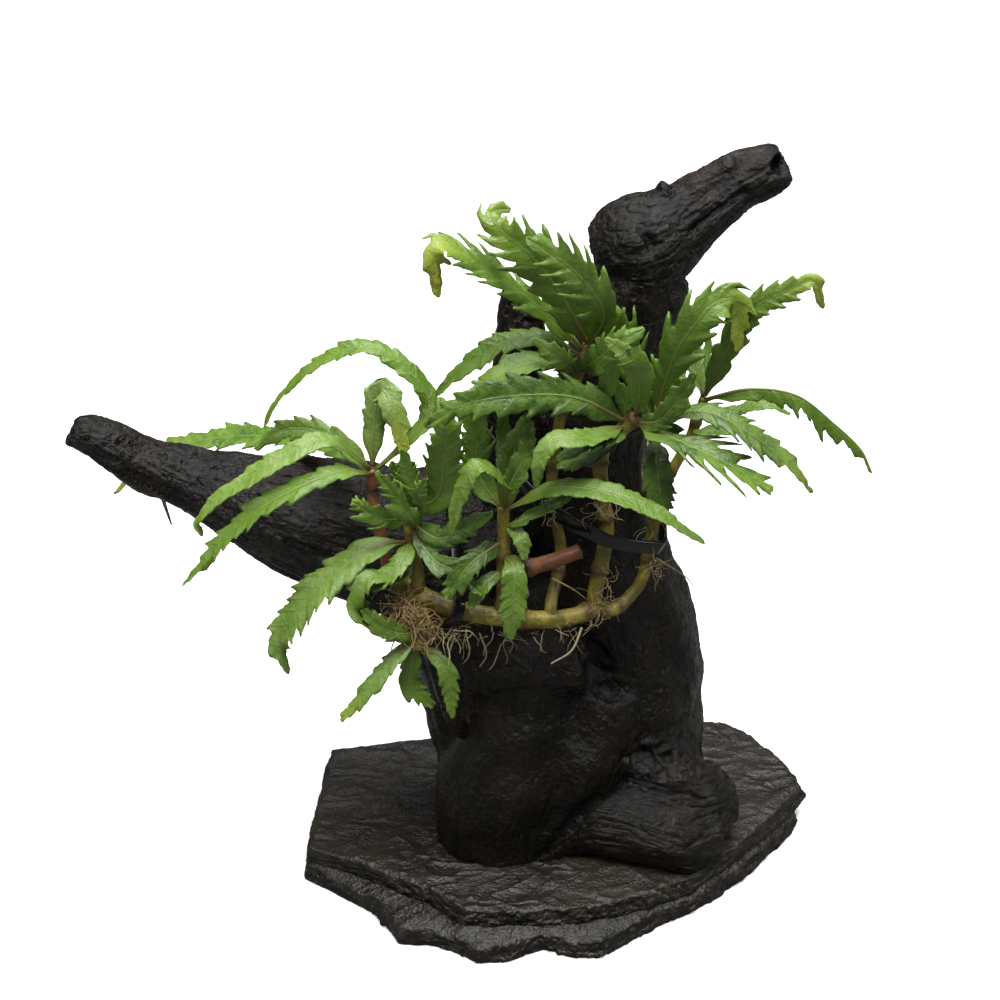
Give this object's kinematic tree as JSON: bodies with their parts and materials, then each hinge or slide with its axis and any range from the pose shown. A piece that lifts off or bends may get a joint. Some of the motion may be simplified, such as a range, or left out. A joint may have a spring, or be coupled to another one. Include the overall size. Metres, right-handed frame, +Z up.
{
  "type": "lobed aquarium plant on driftwood and slate",
  "caption": "Lobed-leaf aquarium plant tied with black bands to a forked piece of dark driftwood that stands on a layered slate plate.",
  "frame": {"origin": "middle of the slate's flat underside", "axes": "+X to the right as the plant is seen from the front, +Y to the back, +Z up"},
  "size_m": [0.2383, 0.113, 0.2259],
  "materials": {
    "slate": "wet split stone",
    "driftwood": "wet weathered",
    "band": "gloss",
    "stem": "satin",
    "old_stem": "satin",
    "leaf": "satin"
  },
  "bodies": {
    "root": {"band_lower": "band", "band_upper": "band", "driftwood_left_arm": "driftwood", "driftwood_right_root": "driftwood", "driftwood_stub": "driftwood", "driftwood_trunk": "driftwood", "driftwood_upper_arm": "driftwood", "leaf_crown_1": "leaf", "leaf_crown_2": "leaf", "leaf_crown_3": "leaf", "leaf_crown_4": "leaf", "leaf_crown_5": "leaf", "leaf_crown_6": "leaf", "leaf_crown_7": "leaf", "leaf_crown_8": "leaf", "leaf_crown_9": "leaf", "leaf_left_1": "leaf", "leaf_left_10": "leaf", "leaf_left_11": "leaf", "leaf_left_12": "leaf", "leaf_left_13": "leaf", "leaf_left_14": "leaf", "leaf_left_15": "leaf", "leaf_left_2": "leaf", "leaf_left_3": "leaf", "leaf_left_4": "leaf", "leaf_left_5": "leaf", "leaf_left_6": "leaf", "leaf_left_7": "leaf", "leaf_left_8": "leaf", "leaf_left_9": "leaf", "leaf_middle_1": "leaf", "leaf_middle_2": "leaf", "leaf_middle_3": "leaf", "leaf_middle_4": "leaf", "leaf_middle_5": "leaf", "leaf_middle_6": "leaf", "leaf_middle_7": "leaf", "leaf_middle_8": "leaf", "leaf_right_1": "leaf", "leaf_right_2": "leaf", "leaf_right_3": "leaf", "leaf_right_4": "leaf", "leaf_top_1": "leaf", "leaf_top_2": "leaf", "leaf_top_3": "leaf", "leaf_top_4": "leaf", "leaf_top_5": "leaf", "old_stem": "old_stem", "rhizome": "stem", "slate_base": "slate", "stem_crown_back": "stem", "stem_crown_front": "stem", "stem_left_back": "old_stem", "stem_left_front": "stem", "stem_low": "stem", "stem_middle": "stem", "stem_right": "stem", "stem_top": "stem"}
  },
  "joints": []
}
